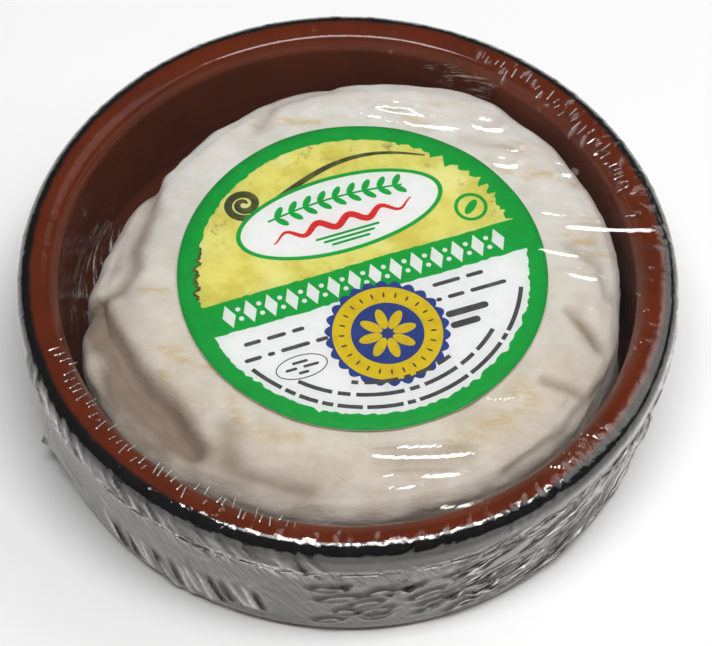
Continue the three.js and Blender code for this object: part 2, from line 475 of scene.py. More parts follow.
def parchment_ink():
    """The yellow field: soft clouds of deeper yellow and a few darker, scorched patches near its edge."""
    n = Nodes("ink_parchment")
    moved = n.add("ShaderNodeVectorMath", operation="SUBTRACT")
    n.put(n.place, moved.inputs[0])
    moved.inputs[1].default_value = (LABEL_CENTRE[0] * MM, LABEL_CENTRE[1] * MM, 0)
    radius, _ = n.axis_parts(moved.outputs[0])
    cloud = n.step(n.noise(4.0, 4, 0.6), 0.4, 0.66)
    base = n.mix(cloud, (0.74, 0.69, 0.2), (0.64, 0.56, 0.11))
    light = n.step(n.noise(7.0, 2), 0.5, 0.75)
    base = n.mix(n.times(light, 0.6), base, (0.82, 0.79, 0.42))
    scorch = n.step(n.noise(2.4, 4, 0.7), 0.55, 0.74)
    near_edge = n.step(radius, LABEL_RADIUS - 8.5, LABEL_RADIUS - 3.5)
    grain = n.noise(0.16, 3, 0.6)
    n.set(Base_Color=n.mix(n.times(scorch, near_edge, 0.75), base, (0.22, 0.2, 0.06)))
    paper_surface(n, grain, PAPER_ROUGHNESS)
    return n.material


def side_streaks(n, height):
    """Thin pleats on the film's side, as a height: a slanting fan front right, steep ones elsewhere."""
    z = n.xyz()[2]
    angle = n.turn()
    arc = n.times(angle, BOWL_RADIUS * MM)

    def family(turn, size):
        c, s = polar(turn)
        along = n.plus(n.times(arc, c), n.times(z, s))
        across = n.minus(n.times(z, c), n.times(arc, s))
        fold = n.noise(size, 2, vector=n.joined(n.times(along, 0.16), across))
        return n.step(n.apart(fold, 0.5), 0.09, 0.0)

    right = n.times(
        n.step(angle, math.radians(14), math.radians(34)),
        n.step(angle, math.radians(110), math.radians(80)),
    )
    over_seal = n.step(height, SEAL_HEIGHT - 3.5, SEAL_HEIGHT)
    off_back = n.step(n.math("ABSOLUTE", angle), math.radians(176), math.radians(158))
    elsewhere = n.times(n.minus(1.0, right), n.plus(n.times(over_seal, 0.75), 0.25), off_back)
    steep = n.times(family(-62, 2.0), elsewhere, 0.3)
    fan = n.times(family(15, 1.9), right, 1.15)
    below = n.step(height, RIM_TOP - 3.6, RIM_TOP - 5.4)
    return n.times(n.plus(fan, steep), below)


def rim_dashes(n):
    """Fine short puckers over the rim's inner edge, front left and back right: 1 on each, 0 elsewhere."""
    radius, _ = n.axis_parts()
    angle = n.turn()
    turn = n.times(angle, BOWL_RADIUS / DASH_PITCH)
    cell = n.math("FLOOR", turn)
    chance = n.add("ShaderNodeTexWhiteNoise", noise_dimensions="1D")
    n.put(cell, chance.inputs["W"])
    split = n.add("ShaderNodeSeparateColor")
    n.put(chance.outputs["Color"], split.inputs[0])
    a, b, c = split.outputs
    out = n.minus(radius, n.plus(DASH_RADIUS, n.times(b, 2.0)))
    lean = n.times(out, n.minus(c, 0.5), 0.4)
    middle = n.plus(n.plus(0.25, n.times(a, 0.5)), lean)
    across = n.apart(n.minus(turn, cell), middle)
    thin = n.step(n.times(across, DASH_PITCH), 0.2, 0.02)
    half = n.plus(0.45, n.times(c, 0.8))
    short = n.step(n.over(n.math("ABSOLUTE", out), half), 1.0, 0.6)
    front = n.times(n.step(angle, -1.3, -1.15), n.step(angle, -0.1, -0.25))
    back = n.times(n.step(angle, 1.85, 2.0), n.step(angle, 2.75, 2.6))
    return n.times(thin, short, n.math("MAXIMUM", front, back))


def seal_level(n):
    """The height of the seal's line at each place round the film, in millimetres."""
    x, y, _ = n.xyz()
    lean = n.over(n.plus(n.times(x, SEAL_LEAN[0]), n.times(y, SEAL_LEAN[1])), MM)
    wave = n.times(n.minus(n.noise(5.0, 3, 0.6), 0.5), 1.6)
    return n.plus(n.plus(lean, wave), SEAL_HEIGHT)


def clear_film():
    """Thin clear film: what is behind it, and what both of its faces mirror."""
    n = Nodes("clear_film")
    n.tree.nodes.remove(n.shader)
    radius, height = n.axis_parts()
    fine = n.noise(2.2, 4, 0.6, 1.2)
    crinkle = n.noise(0.9, 3, 0.6, 0.6, n.scaled(1, 1, 0.5))
    off_label = n.step(radius, 27.0, 44.0)
    normal = n.bump(fine, 0.12, 0.4)
    normal = n.bump(n.times(crinkle, off_label), 0.1, 0.6, normal)
    normal = n.bump(side_streaks(n, height), 0.4, 1.0, normal)
    dashes = n.times(rim_dashes(n), n.step(height, RIM_TOP - 2.4, RIM_TOP - 1.6))
    normal = n.bump(dashes, 0.09, 1.0, normal)
    fresnel = n.add("ShaderNodeFresnel")
    fresnel.inputs["IOR"].default_value = 1.52
    n.put(normal, fresnel.inputs["Normal"])
    one = fresnel.outputs[0]
    both = n.over(n.times(one, 2.0), n.plus(one, 1.0))
    # a pleat is several layers of film, so it mirrors more; film that is stretched flat mirrors less
    both = n.times(both, n.plus(1.0, n.attribute("pleat")))
    both = n.plus(both, n.times(dashes, 0.5))
    # the seal is burnt and dull, in dots
    burnt = n.step(n.apart(height, seal_level(n)), 0.24, 0.1)
    burnt = n.times(burnt, n.step(n.noise(0.45, 2, 0.6), 0.42, 0.52))
    both = n.times(both, n.minus(1.0, n.times(burnt, 0.9)))
    through = n.add("ShaderNodeBsdfTransparent")
    through.inputs["Color"].default_value = (0.985, 0.99, 0.99, 1)
    gloss = n.add("ShaderNodeBsdfAnisotropic")
    gloss.inputs["Roughness"].default_value = 0.05
    gloss.inputs["Color"].default_value = (1, 0.98, 0.955, 1)
    n.put(normal, gloss.inputs["Normal"])
    blend = n.add("ShaderNodeMixShader")
    n.put(both, blend.inputs[0])
    n.put(through.outputs[0], blend.inputs[1])
    n.put(gloss.outputs[0], blend.inputs[2])
    n.put(blend.outputs[0], n.output.inputs["Surface"])
    return n.material


def pale_floor():
    n = Nodes("pale_floor")
    n.set(Base_Color=(0.95, 0.95, 0.95), Roughness=0.8)
    return n.material


# ---- the bowl

BOWL_SEGMENTS = 288


def make_bowl():
    ring_inside = FOOT_RADIUS - FOOT_RING_WIDTH
    outline = rounded_outline([
        (0, FOOT_RECESS, 0),
        (ring_inside - FOOT_RECESS, FOOT_RECESS, 0.6),
        (ring_inside, 0, 0.4),
        (FOOT_RADIUS, 0, 1.8),
        (NECK_RADIUS, BOWL_HEIGHT - BEAD_HEIGHT - NECK_DEPTH / 2, 1.2),
        (BOWL_RADIUS, BOWL_HEIGHT - BEAD_HEIGHT, BEAD_RADIUS / 2),
        (BOWL_RADIUS, BOWL_HEIGHT, BEAD_RADIUS),
        (BOWL_RADIUS - RIM_CREST, BOWL_HEIGHT, 3),
        (MOUTH_RADIUS + 1.1, BOWL_HEIGHT - 0.5, 1.2),
        (MOUTH_RADIUS, BOWL_HEIGHT - RIM_FALL - 0.5, 1.5),
        (FLOOR_RADIUS, FLOOR_THICKNESS, 4),
        (0, FLOOR_THICKNESS, 0),
    ], 0.42)
    out = outline_normals(outline)
    turns = directions(BOWL_SEGMENTS)
    rings = []
    for (r, z), (nr, nz) in zip(outline[1:-1], out[1:-1]):
        # throwing lines on the walls, and a rim that isn't quite even
        line = 0.012 * math.sin(z * 2.1) if r > 20 and z < BOWL_HEIGHT - 5 and z > 1 else 0.0
        uneven = 0.08 * np.sin(2 * turns + 0.6) + 0.05 * np.sin(5 * turns + 2.0)
        share = max(0.0, (z - 8) / BOWL_HEIGHT) * min(1.0, r / 40)
        rr = r + nr * line - np.abs(uneven) * share
        zz = z + nz * line - np.abs(uneven[::-1]) * share
        rings.append(np.column_stack((rr * np.cos(turns), rr * np.sin(turns), BOWL_BOTTOM + zz)))
    low = (0, 0, BOWL_BOTTOM + FOOT_RECESS)
    high = (0, 0, BOWL_BOTTOM + FLOOR_THICKNESS)
    bowl = turned_piece("glazed_bowl", rings, low, high, [glazed_terracotta()])
    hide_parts("bowl")


# ---- the cheese

CHEESE_SEGMENTS = 420
# Creases in the top: points as (direction in degrees, distance from the axis), half width, depth
CHEESE_FOLDS = [
    ([(189, 37.6), (197, 36.4), (202, 35.5), (209, 35), (216, 34.5), (223, 33.9), (229, 35.2), (235, 36.6)],
     1.8, 2.1),
    ([(199, 38.2), (206, 38.9), (214, 40.2)], 1.0, 0.45),
    ([(150, 34), (160, 31.7), (171, 32), (178, 31.2), (185, 33.4), (188, 37)], 1.1, 0.9),
    ([(238, 31), (243, 34.5), (246, 38)], 1.8, 0.45),
    ([(250, 37), (262, 36.5)], 1.6, 0.6),
    ([(329, 33), (331, 38.5)], 0.7, 0.5),
    ([(352, 32.5), (348, 35.5), (344, 38.4)], 0.8, 0.8),
    ([(350, 41), (338, 40.2), (322, 39.8), (306, 39.4)], 0.5, 0.4),
    ([(12, 33), (6, 37), (358, 38.5)], 1.0, 0.6),
    ([(58, 31), (44, 35)], 1.0, 0.4),
    ([(118, 30.5), (110, 34), (96, 35.5)], 1.1, 0.5),
    ([(280, 31), (300, 34)], 1.4, 0.5),
]
# Swellings beside them
CHEESE_ROLLS = [
    ([(195, 39.5), (208, 40.1), (221, 40.6)], 1.2, 0.4),
    ([(190, 39.4), (204, 40)], 1.3, 0.4),
    ([(150, 37), (160, 35.5), (172, 36)], 1.6, 0.4),
    ([(352, 37), (345, 39.5), (335, 38.5)], 1.4, 0.4),
]
# Painted shade, where the surface is in shade: points as above, half width, strength
CHEESE_SHADES = [
    ([(191, 37.4), (202, 36.3), (211, 36.5), (219, 36.2), (227, 35.6), (232, 36.4)], 2.0, 1.0),
    ([(209, 38), (218, 39), (228, 38.6)], 2.0, 0.6),
    ([(152, 34.5), (165, 33), (177, 33)], 2.2, 0.3),
    ([(240, 36.5), (262, 37)], 3.0, 0.35),
    ([(238, 31), (244, 36)], 2.2, 0.22),
    ([(192, 38.4), (199, 38.1)], 1.4, 0.6),
    ([(187, 33), (196, 32.4)], 2.6, 0.28),
    ([(330, 33), (331, 38)], 1.0, 0.35),
    ([(349, 34), (345, 38)], 1.2, 0.35),
]
# Tan streaks where the mould is thin: points as above, half width, strength
CHEESE_STAINS = [
    ([(119, 32), (110, 30), (101, 28.6)], 0.7, 1.0),
    ([(75, 30.4), (68, 30)], 0.8, 0.8),
    ([(46, 29.6), (36, 32)], 0.7, 0.8),
    ([(37, 33.6), (31, 37), (26, 40)], 0.9, 1.0),
    ([(15, 32.8), (9, 39)], 0.9, 0.8),
    ([(302, 31.5), (312, 32.6), (322, 31.8)], 2.2, 1.0),
    ([(6, 35), (18, 38)], 2.6, 0.5),
    ([(322, 34), (338, 36)], 2.4, 0.35),
    ([(186, 30.5), (188, 26)], 0.7, 0.8),
    ([(208, 29.5), (221, 25.3)], 1.1, 1.0),
    ([(213, 31.2), (222, 33.4)], 0.8, 0.9),
    ([(234, 27), (242, 30.5), (257, 28.5)], 1.0, 0.9),
    ([(352, 34), (344, 36)], 0.8, 0.7),
]


def hump(turn, at, width):
    away = np.abs((np.degrees(turn) - at + 540) % 360 - 180) / width
    return np.where(away < 1, (1 + np.cos(np.pi * away)) / 2, 0)


def total(rows, turn):
    return sum(depth * hump(turn, at, width) for at, width, depth in rows)


def from_line(x, y, points):
    """Distance of each (x, y) from the line through points (direction, distance from the axis)."""
    ends = [polar(*point) for point in points]
    best = np.full(x.shape, 1e9)
    for (ax, ay), (bx, by) in zip(ends, ends[1:]):
        length = (bx - ax) ** 2 + (by - ay) ** 2
        t = np.clip(((x - ax) * (bx - ax) + (y - ay) * (by - ay)) / length, 0, 1)
        best = np.minimum(best, np.hypot(x - ax - t * (bx - ax), y - ay - t * (by - ay)))
    return best


def creased(x, y, rows):
    return sum(depth * bell(from_line(x, y, points), width) for points, width, depth in rows)


def make_cheese():
    edge = CHEESE_TOP - CHEESE_CROWN
    outline = rounded_outline([
        (0, CHEESE_BOTTOM, 0),
        (CHEESE_RADIUS, CHEESE_BOTTOM, 5),
        (CHEESE_RADIUS - 1, edge, 4),
        (SLUMP_START, edge + CHEESE_CROWN / 2, 0),
        (0, CHEESE_TOP, 0),
    ], 0.55)
    out = outline_normals(outline)
    turns = directions(CHEESE_SEGMENTS)
    height = CHEESE_TOP - CHEESE_BOTTOM
    rings, painted_shades, stains = [], [], []
    for (r, z), (nr, nz) in zip(outline[1:-1], out[1:-1]):
        shrink = 1 - total(CHEESE_DENTS, turns) / CHEESE_RADIUS * r / CHEESE_RADIUS
        outwards = np.clip((r - SLUMP_START) / (CHEESE_RADIUS - SLUMP_START), 0, 1)
        outwards = outwards * outwards * (3 - 2 * outwards)
        up = (z - CHEESE_BOTTOM) / height
        sunk = z - total(CHEESE_SLUMPS, turns) * outwards * up
        x, y = r * shrink * np.cos(turns), r * shrink * np.sin(turns)
        high = np.clip((up - 0.35) / 0.5, 0, 1) * np.clip((r - 20) / 7, 0, 1)
        fold = creased(x, y, CHEESE_FOLDS) * high
        roll = creased(x, y, CHEESE_ROLLS) * high
        points = np.column_stack((x, y, sunk))
        lumps = 0.42 * noise_at(points, 7.5, 3.1) + 0.2 * noise_at(points, 3.2, 8.4)
        # short wrinkles that run across the cheese
        wrinkle = 0.16 * noise_at(points * (0.45, 1, 1), 1.7, 5.2)
        off_label = np.clip((np.hypot(x - LABEL_CENTRE[0], y) - LABEL_RADIUS + 3) / 5, 0, 1)
        relief = (lumps + wrinkle) * (0.25 + 0.75 * off_label) * np.clip(up * 3, 0, 1)
        relief -= 0.3 * off_label * (r < 38)
        push = relief + roll - fold
        rings.append(np.column_stack((
            x + nr * push * np.cos(turns),
            y + nr * push * np.sin(turns),
            np.maximum(sunk + nz * push, CHEESE_BOTTOM),
        )))
        # painted shade: creases, dips between lumps, the listed shaded places and the low side darkened in
        # colour
        deep = np.clip(fold / 1.6 - roll / 2 + 0.35 * np.clip(-lumps, 0, 1), 0, 1)
        deep = deep + creased(x, y, CHEESE_SHADES) * high
        # painted shade on the low side, less of it at the right front
        side = np.clip((0.86 - up) / 0.45, 0, 1) * np.clip((r - 30) / 8, 0, 1) * (1 - hump(turns, 322, 50))
        painted_shades.append(np.clip(deep + 0.75 * side, 0, 1))
        stains.append(np.clip(creased(x, y, CHEESE_STAINS), 0, 1) * np.clip((up - 0.3) * 3, 0, 1))
    ends = (0, 0, CHEESE_BOTTOM), (0, 0, CHEESE_TOP - 0.1)
    cheese = turned_piece("soft_cheese", rings, *ends, [white_rind()])
    point_values(cheese, "painted_shade", painted_shades)
    point_values(cheese, "stain", stains)
    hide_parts("cheese")


# ---- the label

LABEL_TURN = 21.5  # degrees that the print is turned from the row's X axis
LABEL_THICKNESS = 0.1
FIELD_RADIUS = LABEL_RADIUS - 2.5  # inside the green border
BAND_LOW, BAND_HIGH = -3.6, 1.9
EMBLEM = (0.5, 11.2)
ROSETTE = (-0.2, -11.0)
INKS = ["paper", "green", "parchment", "white", "scorch", "red", "blue", "gold", "dark"]


def circle(a):
    return np.column_stack((np.cos(a), np.sin(a)))


def ellipse(cx, cy, rx, ry, turn=0.0, count=40):
    a = np.linspace(0, 2 * math.pi, count, endpoint=False)
    c, s = polar(turn)
    x, y = rx * np.cos(a), ry * np.sin(a)
    return np.column_stack((cx + c * x - s * y, cy + s * x + c * y))


def scalloped(cx, cy, radius, depth, lobes, count=12):
    a = np.linspace(0, 2 * math.pi, lobes * count, endpoint=False)
    r = radius - depth + depth * np.abs(np.sin(a * lobes / 2))
    return (cx, cy) + r[:, None] * circle(a)


def bar(u, v, length, height, count=6):
    """A bar with round ends from u rightwards, centred on v."""
    r = height / 2
    right = (u + length - r, v) + r * circle(np.linspace(-1.571, 1.571, count))
    left = (u + r, v) + r * circle(np.linspace(1.571, 4.712, count))
    return np.vstack((right, left))


def arc_bar(radius, start, sweep, height):
    """A bar bent along a circle about the label's centre, in degrees."""
    steps = max(3, int(abs(sweep) / 2.5))
    a = np.radians(np.linspace(start, start + sweep, steps))
    line = circle(a)
    return np.vstack(((radius + height / 2) * line, (radius - height / 2) * line[::-1]))


def ribbon(points, widths):
    """A closed outline round a line of points with a width at each."""
    points = np.array(points, float)
    run = np.gradient(points, axis=0)
    side = np.column_stack((-run[:, 1], run[:, 0])) / np.linalg.norm(run, axis=1)[:, None]
    half = np.array(widths)[:, None] / 2
    return np.vstack((points + side * half, (points - side * half)[::-1]))


def torn(points, depth, seed):
    """Points moved in and out a little, like a torn edge."""
    away = np.array([waver(u * 0.9, v * 0.9, seed) for u, v in points])
    fine = np.array([waver(u * 2.6, v * 2.6, seed) for u, v in points])
    length = np.linalg.norm(points, axis=1)
    return points * (1 + (away + 0.6 * fine - 0.4) * depth / length)[:, None]


def ragged(a):
    """How deep the upper field's edge is torn at each angle: little at its top."""
    turn = np.degrees(a)
    return 0.25 + 1.3 * np.clip((62 - turn) / 20, 0, 1) + 0.75 * np.clip((turn - 140) / 14, 0, 1)


def field(above):
    """The part of the round field above or below the band, with torn edges, and its scorched margin."""
    level = BAND_HIGH if above else BAND_LOW
    reach = math.sqrt(FIELD_RADIUS**2 - level**2)
    start = math.atan2(level, reach)
    end = math.pi - start if above else -math.pi - start
    a = np.linspace(start, end, 150)
    rim = torn(circle(a) * FIELD_RADIUS, ragged(a) if above else 0.45, 2.0)
    across = np.linspace(-reach, reach, 70)[1:-1]
    jag = [level + 0.22 * waver(u * 1.3, level, 4.0) for u in across]
    return np.vstack((rim, np.column_stack((across, jag))))


def scorched_edge():
    """A thin dark line along the left margin of the parchment field."""
    a = np.radians(np.linspace(150, 172, 60))
    edge = torn(circle(a) * FIELD_RADIUS, ragged(a), 2.0)
    widths = [0.25 + 0.8 * abs(waver(u, v, 9.0)) for u, v in edge]
    return ribbon(edge, widths)


def swash():
    """A tapered brush stroke that rises over the emblem from a small curl."""
    turn = np.linspace(0, 3.55 * math.pi, 60)
    curl = 0.35 + 0.22 * turn
    start = np.column_stack((-12.3 + curl * np.cos(turn), 17.4 + 0.9 * curl * np.sin(turn)))
    t = np.linspace(0.04, 1, 36)
    rise = start[-1] + np.column_stack((28 * t, 5.4 * np.sin(math.pi * 0.86 * t**1.15)))
    line = np.vstack((start, rise))
    along = np.linspace(0, 1, len(line))
    return ribbon(line, 0.25 + 0.95 * np.sin(np.pi * along**0.85) ** 0.7)


def sprig():
    """A stem with paired leaves, across the emblem."""
    shapes = []
    t = np.linspace(-1, 1, 24)
    stem = np.column_stack((EMBLEM[0] + 10.5 * t, EMBLEM[1] + 2.1 + 0.9 * (1 - t * t)))
    shapes.append(ribbon(stem, np.full(24, 0.35)))
    for k in range(9):
        s = -0.88 + 0.22 * k
        u, v = EMBLEM[0] + 10.5 * s, EMBLEM[1] + 2.1 + 0.9 * (1 - s * s)
        for side in (1, -1):
            lean = side * 48
            du, dv = polar(lean, 1.15)
            shapes.append(ellipse(u + du, v + dv, 1.15, 0.5, lean, 18))
    return shapes


def words(u, v, lengths, height, gap=0.9):
    """Plain bars in a row, where a pack has small print."""
    shapes = []
    for length in lengths:
        shapes.append(bar(u, v, length, height))
        u += length + gap
    return shapes


def arc_words(radius, start, sweeps, height, gap):
    shapes = []
    for sweep in sweeps:
        shapes.append(arc_bar(radius, start, sweep, height))
        start += sweep + gap
    return shapes


def emblem():
    """An oval panel with a sprig, a wavy ribbon and three short bars."""
    u, v = EMBLEM
    shapes = [("green", ellipse(u, v, 16.0, 6.9, 0, 90)), ("white", ellipse(u, v, 15.3, 6.25, 0, 90))]
    shapes += [("green", leaf) for leaf in sprig()]
    t = np.linspace(-1, 1, 60)
    wave = np.column_stack((u + 11 * t, v - 1.3 + 0.75 * np.sin(t * 14)))
    shapes.append(("red", ribbon(wave, 1.35 * np.clip(1.15 - np.abs(t), 0.15, 0.8))))
    return shapes + [("green", bar(u - 5 + k, v - 3.4 - 0.75 * k, 10 - 2 * k, 0.42)) for k in range(3)]


def frieze():
    """Upright diamonds on the band, with a pair of dots after each but the last."""
    shapes = []
    for k in range(14):
        u = -20.8 + 3.2 * k
        shapes.append(ellipse(u, -0.85, 1.0, 2.05, 0, 4))
        if k < 13:
            shapes += [ellipse(u + 1.6, -0.85 + side, 0.38, 0.38, 0, 14) for side in (-0.85, 0.85)]
    return [("white", one) for one in shapes]


def rosette():
    """A scalloped disc with a ring of ticks and an eight-petalled flower."""
    u, v = ROSETTE
    shapes = [
        ("blue", scalloped(u, v, 9.1, 0.75, 26)),
        ("gold", ellipse(u, v, 8.0, 8.0, 0, 80)),
        ("blue", ellipse(u, v, 5.3, 5.3, 0, 60)),
    ]
    petals = ("gold", 8, 2.6, (1.75, 0.78), 20)
    ticks = ("dark", 24, 6.65, (0.5, 0.16), 10)
    for ink_name, count, distance, size, points in (petals, ticks):
        for k in range(count):
            du, dv = polar(360 / count * k, distance)
            shapes.append((ink_name, ellipse(u + du, v + dv, *size, 360 / count * k, points)))
    return shapes


# Small print, as plain bars: place, the bars' lengths and their height
WORD_ROWS = [
    (-20.4, -6.2, [2.6, 2.9, 1.9], 0.66), (-21.2, -8.9, [2.6, 1.1, 4.4, 1.9], 0.66),
    (8.8, -5.4, [4.3, 2.7], 0.66), (8.4, -8.0, [0.9, 2.6, 5.6], 0.66),
    (8.8, -10.9, [6.6], 1.1), (8.8, -12.9, [4.6], 1.1),
]
# The same along arcs, in degrees: radius, start, the bars' sweeps, height and gap
ARC_ROWS = [
    (18.9, 245, [3, 15, 3, 8, 7], 0.66, 2.6),
    (21.0, 224, [14, 5, 19, 4, 15, 7, 12], 0.66, 2.2),
    (23.1, 207, [13, 4, 7, 4, 9, 13, 3, 20, 17, 3, 20], 0.66, 1.5),
]
# The same inside the small oval
OVAL_ROWS = [(-15.0, -11.6, [2.4], 0.45), (-16.3, -12.5, [1.8, 2.4], 0.45), (-14.6, -13.4, [1.6], 0.45)]


def label_print():
    """Every printed shape as (ink, outline), the lowest first, in the label's own plane."""
    small = [one for row in WORD_ROWS for one in words(*row)]
    small += [one for row in ARC_ROWS for one in arc_words(*row)]
    small += [one for row in OVAL_ROWS for one in words(*row)]
    return [
        ("green", ellipse(0, 0, LABEL_RADIUS, LABEL_RADIUS, 0, 220)),
        ("parchment", field(True)),
        ("white", field(False)),
        ("scorch", scorched_edge()),
        ("scorch", swash()),
        *emblem(),
        # a small ring with a leaf in it
        ("green", ellipse(19.2, 6.0, 2.5, 2.5, 0, 40)),
        ("parchment", ellipse(19.2, 6.0, 1.95, 1.95, 0, 36)),
        ("green", ellipse(19.2, 6.0, 1.5, 0.65, 40, 20)),
        *frieze(),
        *rosette(),
        # a thin oval round some of the small print
        ("dark", ellipse(-13.8, -12.4, 3.9, 2.0, 0, 50)),
        ("white", ellipse(-13.8, -12.4, 3.72, 1.82, 0, 50)),
        *(("dark", one) for one in small),
    ]


def inside(points, outline):
    """True for each point within a closed outline."""
    x, y = points[:, 0], points[:, 1]
    hit = np.zeros(len(points), bool)
    for (ax, ay), (bx, by) in zip(outline, np.roll(outline, -1, axis=0)):
        if ay == by:
            continue
        crosses = (ay > y) != (by > y)
        hit ^= crosses & (x < (bx - ax) * (y - ay) / (by - ay) + ax)
    return hit


def label_height(x, y):
    """The paper's gentle waves, where it follows the cheese."""
    return 0.09 * np.sin(x * 0.21 + 0.4) * np.cos(y * 0.17 - 0.3) + 0.05 * np.sin(x * 0.45 - y * 0.3)


def label_materials():
    return [
        ink("ink_paper", (0.75, 0.73, 0.68), (0.66, 0.64, 0.6), 0.6),
        ink("ink_green", (0.0, 0.35, 0.045), (0.005, 0.31, 0.045)),
        parchment_ink(),
        ink("ink_white", (0.81, 0.81, 0.82), (0.77, 0.77, 0.78)),
        ink("ink_scorch", (0.05, 0.06, 0.02), (0.12, 0.14, 0.045)),
        ink("ink_red", (0.62, 0.018, 0.018), (0.55, 0.03, 0.025)),
        ink("ink_blue", (0.02, 0.045, 0.24), (0.025, 0.06, 0.27)),
        ink("ink_gold", (0.7, 0.53, 0.01), (0.62, 0.44, 0.012)),
        ink("ink_dark", (0.05, 0.05, 0.052), (0.085, 0.085, 0.085)),
    ]


def make_label():
    shapes = label_print()
    points, loops = [], []
    for _, outline in shapes:
        loops.append(list(range(len(points), len(points) + len(outline))))
        points += [tuple(p) for p in outline]
    grid = np.arange(-LABEL_RADIUS, LABEL_RADIUS, 1.5)
    points += [(u, v) for u in grid for v in grid if math.hypot(u, v) < LABEL_RADIUS - 0.8]
    edges = [(a, b) for loop in loops for a, b in zip(loop, loop[1:] + loop[:1])]
    made = delaunay_2d_cdt([Vector(p) for p in points], edges, [], 0, 1e-4)
    flat = np.array([tuple(p) for p in made[0]])
    faces = [tuple(face) for face in made[2]]
    middles = np.array([flat[list(face)].mean(axis=0) for face in faces])
    colour = np.zeros(len(faces), int)
    for name, outline in shapes:
        low, high = outline.min(axis=0), outline.max(axis=0)
        near = np.all((middles > low) & (middles < high), axis=1).nonzero()[0]
        colour[near[inside(middles[near], outline)]] = INKS.index(name)
    c, s = polar(LABEL_TURN)
    x = LABEL_CENTRE[0] + c * flat[:, 0] - s * flat[:, 1]
    y = LABEL_CENTRE[1] + s * flat[:, 0] + c * flat[:, 1]
    z = label_high[2] - 0.12 + label_height(x, y)
    top = np.column_stack((x, y, z))
    under = top - (0, 0, LABEL_THICKNESS)
    count = len(top)
    used = dict.fromkeys((a, b) for face in faces for a, b in zip(face, face[1:] + face[:1]))
    rim = [(a, b) for a, b in used if (b, a) not in used]
    backs = [tuple(count + i for i in face[::-1]) for face in faces]
    sides = [(b, a, count + a, count + b) for a, b in rim]
    label = mesh_piece("paper_label", np.vstack((top, under)), faces + backs + sides, label_materials())
    paper = np.full(len(backs) + len(sides), INKS.index("paper"))
    label.data.polygons.foreach_set("material_index", np.concatenate((colour, paper)))
    label.data.polygons.foreach_set("use_smooth", [True] * len(faces + backs) + [False] * len(sides))
    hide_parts("label")


# ---- the film

FILM_SEGMENTS = 660
FILM_STEP = 0.4
COARSE_RADIUS = 26.5  # inside this, and underneath, the film is smooth, so fewer points will do


def film_outline():
    return rounded_outline([
        (0, FILM_BOTTOM, 0),
        (FOOT_RADIUS + 0.3, FILM_BOTTOM, 2),
        (NECK_RADIUS + 0.35, RIM_TOP - 7.2, 4),
        (BOWL_RADIUS + FILM_OUT, RIM_TOP - 4.9, 2),
        (BOWL_RADIUS + FILM_OUT, RIM_TOP + FILM_OUT, BEAD_RADIUS + 0.2),
        (BOWL_RADIUS - RIM_CREST, RIM_TOP + FILM_OUT, 6),
        (LABEL_RADIUS + 2, FILM_REST + 0.12, 10),
        (0, FILM_REST, 0),
    ], FILM_STEP)


def is_coarse(r, z):
    return r < COARSE_RADIUS or (z < FILM_BOTTOM + 0.05 and r < FOOT_RADIUS - 3)


def thin_out(outline):
    """Drops rows where the film is coarse: three in four."""
    last = len(outline) - 1
    keep = [i for i, (r, z) in enumerate(outline) if not is_coarse(r, z) or i % 4 == 0 or i == last]
    return outline[keep]


def film_ridge(across, along, width):
    """A ridge's height: a bell across it, fading to nothing at its two ends."""
    return bell(across, width) * np.clip(1 - along * along, 0, 1) ** 0.7


def side_pleats(at, crest):
    """Pleats as (direction, place along the outline, turn, half length, half width, height)."""
    draw, about = rng.uniform, rng.normal
    # thin ones that hang from the bead at the front left
    marks = [(draw(200, 266), at(draw(19, 24.5)), about(-60, 8), draw(2, 4), 0.34, draw(0.12, 0.3))
             for _ in range(80)]
    # deep ones down to the foot beside them
    marks += [(225 + 2.1 * k + about(0, 0.5), at(draw(3, 6) + 0.12 * k), about(-70, 5), draw(2.5, 4.5),
               0.42, draw(0.4, 0.6)) for k in range(16)]
    # a fan of long slanting ones at the front right
    marks += [(draw(298, 352), at(draw(3, 20)), about(16, 3.5), draw(3, 7), draw(0.36, 0.46),
               draw(0.15, 0.36)) for _ in range(85)]
    # faint ones everywhere, and short ones over the rim, closer at the front
    marks += [(draw(0, 360), at(draw(3, 21)), about(-60, 40), draw(1.5, 4), 0.45, draw(0.02, 0.1))
              for _ in range(170)]
    marks += [(draw(0, 360), crest + about(-1, 1.5), about(90, 14), draw(0.8, 2.4), 0.33, draw(0.03, 0.09))
              for _ in range(330)]
    marks += [(draw(240, 312), crest + about(-1.2, 1), about(90, 26), draw(0.8, 2), 0.34, draw(0.08, 0.22))
              for _ in range(110)]
    return marks


def unrolled(mark, s, turns, radii):
    """The rows and columns near a mark, and how far along and across it each of their points lies."""
    direction, middle, turn, half, width = mark[:5]
    reach = half + 2.5 * width
    rows = np.nonzero(np.abs(s - middle) < reach)[0]
    away = (turns - math.radians(direction) + 3 * math.pi) % (2 * math.pi) - math.pi
    columns = np.nonzero(np.abs(away) * BOWL_RADIUS < reach * 1.15)[0]
    a = away[columns][None, :] * radii[rows][:, None]
    b = (s[rows] - middle)[:, None]
    c, d = polar(turn)
    return np.ix_(rows, columns), a * c + b * d, b * c - a * d


